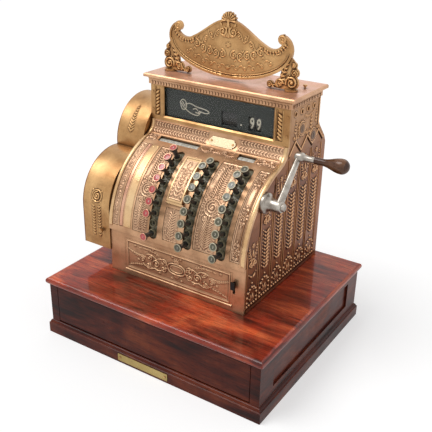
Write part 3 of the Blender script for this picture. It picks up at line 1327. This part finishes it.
class REGISTER_OT_sign(bpy.types.Operator):
    """Scrollwork, shell and feet of the sign"""
    bl_idname = "register.sign"
    bl_label = "Sign ornament"

    def scrollwork(self, outline):
        """Running scrolls, leaves and beads on the plate."""
        m, mid = SIGN_HALF, SIGN_BELLY
        c = Carving(2 * m, mid + SIGN_HUMP, 1.05)
        c.sunk = c.outside(outline)

        def left():
            c.fan(m, mid + 12, 90, 7, 15, 4.6, 1.3, 150)
            # a running scroll across the middle: volutes that turn up and down, leaves between
            for k in range(7):
                u, v = m - 13 - 15.2 * k, mid - 23 + 1.1 * k * (k - 1)
                way = 1 if k % 2 else -1
                c.spiral(u, v, 7.2, -90 * way, 1.7, 1.05, 1.3, way)
                c.stroke(bow((u + 7, v + 2 * way), (u + 8, v - 10 * way), (u - 2, v - 9.5 * way)),
                         1.0, 0.6, 1.2)
                c.leaf(u - 5, v + 7 * way, 90 * way + 30, 7, 2.6, 1.2)
                c.leaf(u - 5, v + 7 * way, 90 * way - 30, 6, 2.4, 1.1)
            for k in range(4):
                u, v = m - 11 - 14 * k, mid + 18 - 1.9 * k * k
                way = -1 if k % 2 else 1
                c.spiral(u, v, 5.2, 90 * way, 1.5, 0.9, 1.2, way)
                c.stroke(bow((u + 5, v - way * 5), (u, v - way * 11), (u - 7, v + way * 6)),
                         0.9, 0.8, 1.1)
                c.leaf(u - 7, v + way * 5, 90 * way, 6, 2.4, 1.1)
            for k, (u, v, r) in enumerate(((-74, 4, 5), (-92, 1, 4.4), (-112, -4, 5.4), (-122, 10, 4))):
                c.spiral(m + u, mid + v, r, 90 * (k % 2), 1.5, 0.9, 1.2, 1 if k % 2 else -1)
            for k in range(5):
                u, v = m - 20 - 19 * k, mid - 47 + 1.2 * k * k
                c.spiral(u, v, 4, 0, 1.4, 0.8, 1.1, 1 if k % 2 else -1)
                c.stroke(bow((u + 4, v + 3), (u + 10, v + 8), (u + 15, v - 1)), 0.8, 0.6, 1.0)
            # double line along the belly, beads and leaves round the notch beside the horn
            for d, w in ((1.0, 1.1), (5.2, 0.6)):
                wide, tall = m - SIGN_EDGE - d, mid - SIGN_EDGE - d
                c.stroke([(m - wide * math.sin(t), mid - tall * math.cos(t))
                          for t in np.radians(np.linspace(0, 84, 40))], w, w, 1.5)
            for a in range(298, 208, -11):
                c.dome(*around(m - 98, mid + 26, 31.5, a), 2.4, 2.6)
                c.leaf(*around(m - 98, mid + 26, 33, a), a, 6, 2.6, 1.4)

        c.mirrored(left)
        c.flower(m, mid - 4, 6, 6, 1.3)
        c.flower(m, mid - 48, 5, 6, 1.4)
        c.ground(31, 2.6, 0.55, 0.3)
        relief_tile("sign_scrollwork", c, on_plane(SIGN_X - m, SIGN_Z - mid, SIGN_Y), GOLD, 0.15,
                    trim=True)

    def shell(self):
        """A fluted shell on the hump."""
        r = 16.6
        c = Carving(2 * r, r + 5, 0.8)
        c.sunk = np.hypot(c.u - r, c.v - 5) > r - 0.3
        for i in range(9):
            a = -15 + 210 * (i + 0.5) / 9
            c.stroke([around(r, 5, 3, a), around(r, 5, r - 2.5, a)], 0.7, 2.3, 2.0)
        c.dome(r, 5, 4, 2.6)
        place = on_plane(SIGN_X - r, SIGN_Z + SIGN_HUMP - 8, SIGN_Y - 1)
        relief_tile("sign_shell", c, place, GOLD, 0.1, 0.5, True)

    def feet(self, outline):
        """Pierced scrolls on the feet and a volute on each horn."""
        foot = 67
        foot_x = SIGN_X + SIGN_HALF + 1 - foot
        for side, end in ((1, "right"), (-1, "left")):
            c = Carving(96, 76, 0.95)
            scrolls = ((0, 16, 14, 200), (-25, 12, 10, 20), (-46, 8, 7, 150), (5, 35, 9, -60),
                       (3, 49, 6, 120))
            web = [(-46, 3), (4, 1), (11, 36), (6, 54), (-6, 66), (-20, 54), (-26, 20)]
            c.sunk = c.outside([(foot + x, z) for x, z in web])
            for x, z, r, _ in scrolls:
                c.sunk &= np.hypot(c.u - foot - x, c.v - z) > r - 0.4
            c.sunk |= ~c.outside([(u - 2 * SIGN_HALF + foot - 1, v - SIGN_BELLY + SIGN_Z - SIGN_FOOT_Z)
                                  for u, v in outline])
            c.frond(bow((foot - 30, 8), (foot - 18, 30), (foot - 8, 62)), 7, 13, 4.6, 2.6, 46, 1.2)
            c.frond(bow((foot - 44, 6), (foot - 20, 10), (foot - 6, 28)), 6, 10, 3.6, 2.4, 46, 1.0)
            for k, (x, z, r, start) in enumerate(scrolls):
                c.spiral(foot + x, z, r - 1.8, start, 1.7, max(1.1, r * 0.12), 3.0, 1 if k % 2 else -1)
                for a in (30, 120, 210, 300) if r > 8 else ():
                    c.leaf(*around(foot + x, z, r * 0.35, a), a + 40, r * 0.5, 2.2, 1.8)
            relief_tile(f"sign_foot_{end}", c, lambda u, v, h: (
                SIGN_X + side * (foot_x - SIGN_X + u), SIGN_FOOT_Y - h, SIGN_FOOT_Z + v),
                GOLD, 0.1, 0.8, True)
            h = Carving(20, 20, 0.8)
            h.sunk = np.hypot(h.u - 10, h.v - 10) > 9.2
            h.spiral(10, 10, 7.4, 200 if side > 0 else -20, 1.7, 1.7, 3.0, -side)
            x = SIGN_X + side * (SIGN_HALF - 22)
            relief_tile(f"sign_horn_{end}", h, on_plane(x - 10, SIGN_Z + 10, SIGN_Y), GOLD, 0.1, 0.5,
                        True)

    def curls(self):
        """Two volutes under the shell."""
        c = Carving(48, 32, 0.85)

        def curl():
            c.spiral(12, 12, 9.5, 60, 1.5, 1.9, 2.4, -1)
            c.stroke(bow((24, 30), (22, 18), (16, 4)), 2.4, 1.6, 2.2)
            c.leaf(23, 12, -100, 12, 5, 2.0)
            c.leaf(10, 22, 120, 9, 4, 1.9)
        c.mirrored(curl)
        c.sunk = c.h < 0.2
        relief_tile("sign_shell_curls", c, on_plane(SIGN_X - 24, SIGN_Z + SIGN_HUMP - 36, SIGN_Y - 0.6),
                    GOLD, 0.3, 0.4, True)

    def execute(self, context):
        outline = [(x + SIGN_HALF, z + SIGN_BELLY) for x, z in sign_outline(SIGN_EDGE)]
        self.scrollwork(outline)
        self.shell()
        self.feet(outline)
        self.curls()
        return {"FINISHED"}


def head_rise(y):
    """How far the pointed heads stand above their feet at y."""
    return HEAD_TALL * (1 - np.abs((y - HEAD_Y) % HEAD_PITCH / (HEAD_PITCH / 2) - 1))


def side_panel(c, head, seed):
    """One panel: an arch of beads, a double column of leaves, a rosette and a spray up to head."""
    m = c.wide / 2
    stop = min(head - 62, 190)

    def half():
        for k in range(4):
            a = math.radians(90 + 27 * k)
            c.dome(m + 17.5 * math.cos(a), 21 + 20 * math.sin(a), 2.7, 3.0)
        for u, v in ((m - 17.5, 13), (m - 17.5, 4.5), (m - 8.8, 4.5)):
            c.dome(u, v, 2.5, 2.8)
        # leaves under the arch
        c.leaf(m, 9, 106, 19, 6.4, 2.6)
        c.leaf(m, 10, 140, 14, 5.4, 2.4)
        c.dome(m - 9, 33, 1.6, 1.8)
        if stop > 70:
            n = max(1, round((stop - 66) / 7.6))
            for i in range(n):
                v = 62 + i * (stop - 66) / n
                c.leaf(m - 1.0, v, 142, 12, 4.7, 2.9, 0.12)
                c.dome(m - 13, v + 9.4, 1.5, 1.9)
            c.spiral(m - 8, stop + 14, 6.5, -60, 1.4, 1.5, 2.2)
            c.frond(bow((m - 2, stop + 26), (m - 14, stop + 30), (m - 14, min(stop + 52, head - 10))),
                    5, 9, 4, 2.0, 40)
        c.stroke([(1.0, 1), (1.0, head)], 0.8, 0.8, 1.4)
    c.mirrored(half)
    c.dome(m, 4.5, 2.5, 2.8)
    c.dome(m, 50, 2.2, 2.4)
    if stop > 70:
        c.ring(m, stop + 18, 6.6, 1.6, 2.2)
        c.dome(m, stop + 18, 3.6, 3.2, cut=True)
        c.leaf(m, stop + 28, 90, 17, 6.5, 2.4)
        if head - stop > 50:
            c.flower(m, head - 10, 6.5, 6, 2.0)
    c.ground(seed, 3.2, 0.6, 0.35)


class REGISTER_OT_sides(bpy.types.Operator):
    """Upright panels on the cabinet's sides, with pointed heads and rosettes above"""
    bl_idname = "register.sides"
    bl_label = "Side ornament"

    def execute(self, context):
        fields = list(zip([FRONT_Y + 5] + [y + 2.2 for y in SIDE_GROOVES],
                          [y - 2.2 for y in SIDE_GROOVES]))
        for k, (a, b) in enumerate(fields):
            c = Carving(b - a, 262, 1.15)
            depth = depth_in(c.u + a, c.v + PANEL_Z)
            free = [z for z in range(160, 402)
                    if depth_in(np.array([a + 7, b - 7]), np.full(2, z)).min() > 8]
            side_panel(c, free[-1] - PANEL_Z, 41 + k)
            c.sunk |= depth < 6
            c.sunk |= c.v + PANEL_Z > 403 + (head_rise(c.u + a) if a > 37 else 0)
            relief_tile(f"side_right_panel_{k + 1}", c, on_right(a, PANEL_Z), BROWN, trim=True)
        # rings round the locks and four bosses, sprays, and a line over the pointed heads
        c = Carving(160, 92, 1.0)
        y0, z1 = 38, 408
        y, z = c.u + y0, c.v + z1
        back = np.interp(z, (398, 412, 440, 450), (204, 196.8, 171.2, 164))
        zig = [(HEAD_Y + HEAD_PITCH / 2 * i - y0, 411.5 + HEAD_TALL * (i % 2) - z1) for i in range(8)]
        rear_line = ((158.5, 500), (158.5, 449), (165.6, 438), (190.5, 411))
        c.stroke([(y - y0, z - z1) for y, z in rear_line], 1.6, 1.6, 2.0)
        c.stroke(zig, 1.7, 1.7, 2.2)
        for i in (1, 3, 5):
            c.leaf(*zig[i], 90, 14, 5, 2.0)
            for s in (-1, 1):
                c.spiral(zig[i][0] + s * 7, zig[i][1] + 6, 3.6, 90, 1.3, 1.0, 1.8, -s)
        for y1, z2 in ((86, 455), (137, 429)):
            u, v = y1 - y0, z2 - z1
            c.ring(u, v, 14.2, 1.3, 2.2)
            c.beads(u, v, 17.4, 16, 1.3, 1.4)
            c.sunk |= np.hypot(c.u - u, c.v - v) < 12.6
        for u, v, tall, long, wide, top in ((22, 40, 26, 9, 3.8, 1.9), (88, 36, 30, 9, 3.8, 1.9),
                                            (110, 44, 28, 8, 3.4, 1.8)):
            c.frond([(u, v), (u, v + tall)], 4, long, wide, top, 42)
        c.frond(bow((58, 72), (76, 60), (96, 72)), 6, 7, 3, 1.6, 40)
        for i in range(4):
            u, v = 56 + 26.3 * i - y0, 490 - z1
            c.ring(u, v, 5.0, 1.1, 1.5)
            c.sunk |= np.hypot(c.u - u, c.v - v) < 3.6
        c.ground(59, 3.0, 0.6, 0.35)
        c.sunk |= (depth_in(y, z) < 5) | (y > back - 3) | (z < 407.5 + head_rise(y))
        relief_tile("side_right_upper", c, on_right(y0, z1), BROWN, trim=True)
        # left side: the strip that shows above and behind the printer housing
        c = Carving(120, 34, 1.1)
        c.rim(2, 1.2, 1.2)
        for k in range(3):
            c.flower(20 + 40 * k, 17, 11, 8, 1.8)
        c.ground(61, 2.8, 0.6, 0.35)
        relief_tile("side_left_upper", c, on_left(160, 468), BROWN)
        # left side below the printer housing
        for k, (a, b) in enumerate(fields):
            c = Carving(b - a, 34, 1.1)
            side_panel(c, 60, 81 + k)
            relief_tile(f"side_left_foot_{k + 1}", c, on_left(b, PANEL_Z), BROWN)
        # smooth rounded edges that run up the whole front
        long = math.radians(CURVE_END) * KB_R + 59
        for name, x0 in (("edge_right", 144.6), ("edge_left", -171.8)):
            c = Carving(9.2, long - 6)
            c.slab(0.1, 4.4, 2.6)
            relief_tile(f"front_{name}", c, on_front(x0, 6), POLISHED, 0.0, 0.4)
        return {"FINISHED"}


class REGISTER_OT_rear(bpy.types.Operator):
    """Upright panels on the back, scrolls and rosettes on the back of the sign"""
    bl_idname = "register.rear"
    bl_label = "Rear ornament"

    def execute(self, context):
        n = 6
        pitch = (CAB_RIGHT - CAB_LEFT - 12) / n
        for k in range(n):
            c = Carving(pitch - 5, 252, 1.25)
            side_panel(c, 250, 71 + k)
            x = CAB_RIGHT - 6 - k * pitch - 2.5
            relief_tile(f"rear_panel_{k + 1}", c, on_back(x, 144, BACK_Y), BROWN)
        # back of the sign: a line round the plate, a running scroll and two rosettes
        half, belly = SIGN_HALF, SIGN_BELLY
        c = Carving(2 * half, belly + SIGN_HUMP, 1.6)
        plate = sign_outline(SIGN_EDGE)
        c.sunk = c.outside([(x + half, z + belly) for x, z in plate])
        c.stroke([(x * 0.965 + half, z * 0.95 + belly + 0.6) for x, z in plate + plate[:1]],
                 1.5, 1.5, 1.3)

        def left():
            for k in range(5):
                way = 1 if k % 2 else -1
                c.spiral(half - 18 - 20 * k, belly - 20 + 1.6 * k * (k - 1), 9, -90 * way, 1.7, 1.5,
                         1.5, way)
        c.mirrored(left)
        c.flower(half, belly + 8, 12, 8, 1.6)
        c.flower(half, belly - 44, 8, 6, 1.4)
        relief_tile("sign_back", c, on_back(SIGN_X + half, SIGN_Z - belly, 81), GOLD, 0.15, 0.5, True)
        return {"FINISHED"}


class REGISTER_OT_printer(bpy.types.Operator):
    """Sprays and rosettes on the printer housing and its door"""
    bl_idname = "register.printer"
    bl_label = "Printer housing ornament"

    def execute(self, context):
        c = Carving(40, 118, 1.0)

        def wheat():
            u = 13
            for i in range(11):
                c.leaf(u, 6 + 6.4 * i, 128, 8.5, 3.4, 2.0)
                c.leaf(u, 6 + 6.4 * i, 62, 6.5, 3.0, 1.8)
            c.stroke([(u, 2), (u, 76)], 0.7, 0.7, 0.9)
        c.mirrored(wheat)
        c.ring(20, 95, 12.5, 1.3, 1.9)
        c.spiral(20, 95, 9, 90, 1.7, 1.6, 2.0)
        for a in (45, 135, 225, 315):
            c.leaf(*around(20, 95, 13, a), a, 6, 3, 1.2)
        relief_tile("printer_housing_spray", c, on_lobe(HOUSING_X, -68, *LOBES[0]), GOLD, 0.06, 0.3)
        c = Carving(36, 70, 1.0)
        c.frond([(18, 4), (18, 64)], 9, 12, 3.8, 1.9, 40, 0.9)
        relief_tile("printer_housing_frond", c, on_lobe(HOUSING_X, 22, *LOBES[1]), GOLD, 0.06, 0.3)
        # end door: a beaded rim round the two lobes, a rosette in each and sprays between
        c = Carving(298, 283, 1.8)
        y, z = DOOR_BACK - c.u, c.v + DOOR_FOOT
        boxes = [np.minimum.reduce([y - near, 187 - y, z - 179, top - z])
                 for near, top in ((-113, 265), (20, 372))]
        inside = np.maximum.reduce([*(r - np.hypot(y - y1, z - z1) for y1, z1, r in LOBES), *boxes])
        c.sunk = inside < 3
        for near, w, top in ((6.5, 2.6, 2.2), (13, 1.5, 1.4)):
            c.h = np.maximum(c.h, top * np.sqrt(np.clip(1 - ((inside - near) / w) ** 2, 0, 1)))
        for (y1, z1, _), r in zip(LOBES, (60, 52)):
            u, v = DOOR_BACK - y1, z1 - DOOR_FOOT
            c.ring(u, v, r - 3, 2.2, 1.9)
            c.ring(u, v, r * 0.42, 2.0, 1.8)
            c.flower(u, v, r * 0.38, 8, 2.2)
            c.beads(u, v, r - 10, 24, 2.2, 1.9)
            for a in range(0, 360, 45):
                c.frond([around(u, v, r * 0.46, a), around(u, v, r * 0.74, a)], 3, r * 0.2, r * 0.09,
                        1.9, 40)
        for points in (((20, 26), (60, 60), (96, 34)), ((280, 22), (250, 40), (262, 74)),
                       ((24, 60), (20, 110), (34, 130)), ((120, 22), (80, 16), (46, 40)),
                       ((208, 176), (176, 150), (142, 160)), ((70, 120), (100, 110), (118, 132))):
            c.frond(bow(*points), 7, 15, 5.4, 2.2, 40, 1.4)
        for u, v, r in ((62, 88, 15), (40, 46, 10), (250, 30, 8)):
            c.spiral(u, v, r, 40, 1.7, 2.0, 2.2)
        relief_tile("printer_door_ornament", c, on_left(DOOR_BACK, DOOR_FOOT, DOOR_X), BROWN, 0.1, 0.5,
                    True, "printer_door")
        return {"FINISHED"}


class REGISTER_OT_stage(bpy.types.Operator):
    """Floor, soft light and camera"""
    bl_idname = "register.stage"
    bl_label = "Stage"

    def lamp(self, name, place, size, power):
        """A square lamp that looks at the object's middle."""
        data = bpy.data.lights.new(name, "AREA")
        data.shape, data.size, data.energy = "SQUARE", size, power
        lamp = bpy.data.objects.new(name, data)
        lamp.location = place
        lamp.rotation_euler = (Vector((0, 0, 0.25)) - Vector(place)).to_track_quat("-Z", "Y").to_euler()
        bpy.context.scene.collection.objects.link(lamp)

    def seen(self, f):
        """1 for camera, glossy and transmission rays, 0 for the rays that light the object."""
        path = f.node("LightPath").outputs
        both = f.maths("MAXIMUM", path["Is Camera Ray"], path["Is Glossy Ray"])
        return f.maths("MAXIMUM", both, path["Is Transmission Ray"])

    def execute(self, context):
        scene = context.scene
        s = scene.register_stage
        world = bpy.data.worlds.new("studio")
        scene.world = world
        world.use_nodes = True
        f = Finish.__new__(Finish)
        f.tree = world.node_tree
        f.tree.nodes.clear()
        sky = f.node("Background", {"Color": (1, 1, 1, 1), "Strength": s.sky})
        backdrop = f.node("Background", {"Color": (1, 1, 1, 1), "Strength": 1.0})
        both = f.node("MixShader", {0: self.seen(f), 1: sky.outputs[0], 2: backdrop.outputs[0]})
        f.node("OutputWorld", {"Surface": both.outputs[0]})

        clear_selection()
        bpy.ops.mesh.primitive_plane_add(size=30, location=(0, 0, 0))
        floor = bpy.context.object
        floor.name = "floor"
        f = Finish("floor")
        paint = f.node("BsdfDiffuse", {"Color": (*s.floor, 1)})
        shine = f.maths("MULTIPLY", self.seen(f), 0.51)
        glow = f.node("Emission", {"Color": (1, 1, 1, 1), "Strength": shine})
        lit = f.node("AddShader", {0: paint.outputs[0], 1: glow.outputs[0]})
        f.node("OutputMaterial", {"Surface": lit.outputs[0]})
        floor.data.materials.append(f.material)

        data = bpy.data.lights.new("key_light", "SUN")
        data.angle, data.energy = math.radians(34), s.key_light
        key = bpy.data.objects.new("key_light", data)
        key.rotation_euler = Vector((1.25, 1.1, -2.6)).to_track_quat("-Z", "Y").to_euler()
        scene.collection.objects.link(key)
        self.lamp("fill_light", (1.9, -0.6, 1.3), 1.4, s.fill_light)
        self.lamp("back_light", (0.3, 1.8, 2.0), 1.4, s.fill_light)

        data = bpy.data.cameras.new("view")
        camera = bpy.data.objects.new("view", data)
        scene.collection.objects.link(camera)
        right, up = (0.83757, 0.54599, 0.01935), (-0.24506, 0.34381, 0.90650)
        ahead = (-0.48829, 0.76400, -0.42177)
        turn = Matrix((right, up, [-c for c in ahead])).transposed().to_4x4()
        camera.matrix_world = Matrix.Translation((0.71284, -1.08848, 0.86515)) @ turn
        data.lens, data.sensor_width = 58.03, 36
        data.clip_start, data.clip_end = 0.01, 60
        scene.camera = camera
        scene.view_settings.view_transform = "Standard"
        return {"FINISHED"}


class REGISTER_PT_panel(bpy.types.Panel):
    """Lists the register's pieces and settings"""
    bl_idname = "REGISTER_PT_panel"
    bl_label = "Ticket register"
    bl_space_type = "VIEW_3D"
    bl_region_type = "UI"
    bl_category = "Register"

    def draw(self, context):
        layout = self.layout
        for operator in PIECES:
            layout.operator(operator.bl_idname)
        for name in GROUPS:
            box = layout.box()
            group = getattr(context.scene, name)
            for key in group.__annotations__:
                box.prop(group, key)


PIECES = (REGISTER_OT_wood, REGISTER_OT_castings, REGISTER_OT_front_door, REGISTER_OT_keyboard,
          REGISTER_OT_strips, REGISTER_OT_keys, REGISTER_OT_crank, REGISTER_OT_ledge, REGISTER_OT_window,
          REGISTER_OT_sign, REGISTER_OT_sides, REGISTER_OT_rear, REGISTER_OT_printer, REGISTER_OT_stage)
GROUPS = {"register_finish": RegisterFinish, "register_carving": RegisterCarving,
          "register_stage": RegisterStage}


def register():
    for kind in (*GROUPS.values(), *PIECES, REGISTER_PT_panel):
        bpy.utils.register_class(kind)
    for name, group in GROUPS.items():
        setattr(bpy.types.Scene, name, bpy.props.PointerProperty(type=group))


def unregister():
    for name in GROUPS:
        delattr(bpy.types.Scene, name)
    for kind in reversed((*GROUPS.values(), *PIECES, REGISTER_PT_panel)):
        bpy.utils.unregister_class(kind)


def main():
    register()
    for operator in PIECES:
        group, name = operator.bl_idname.split(".")
        getattr(getattr(bpy.ops, group), name)()


if __name__ == "__main__":
    main()
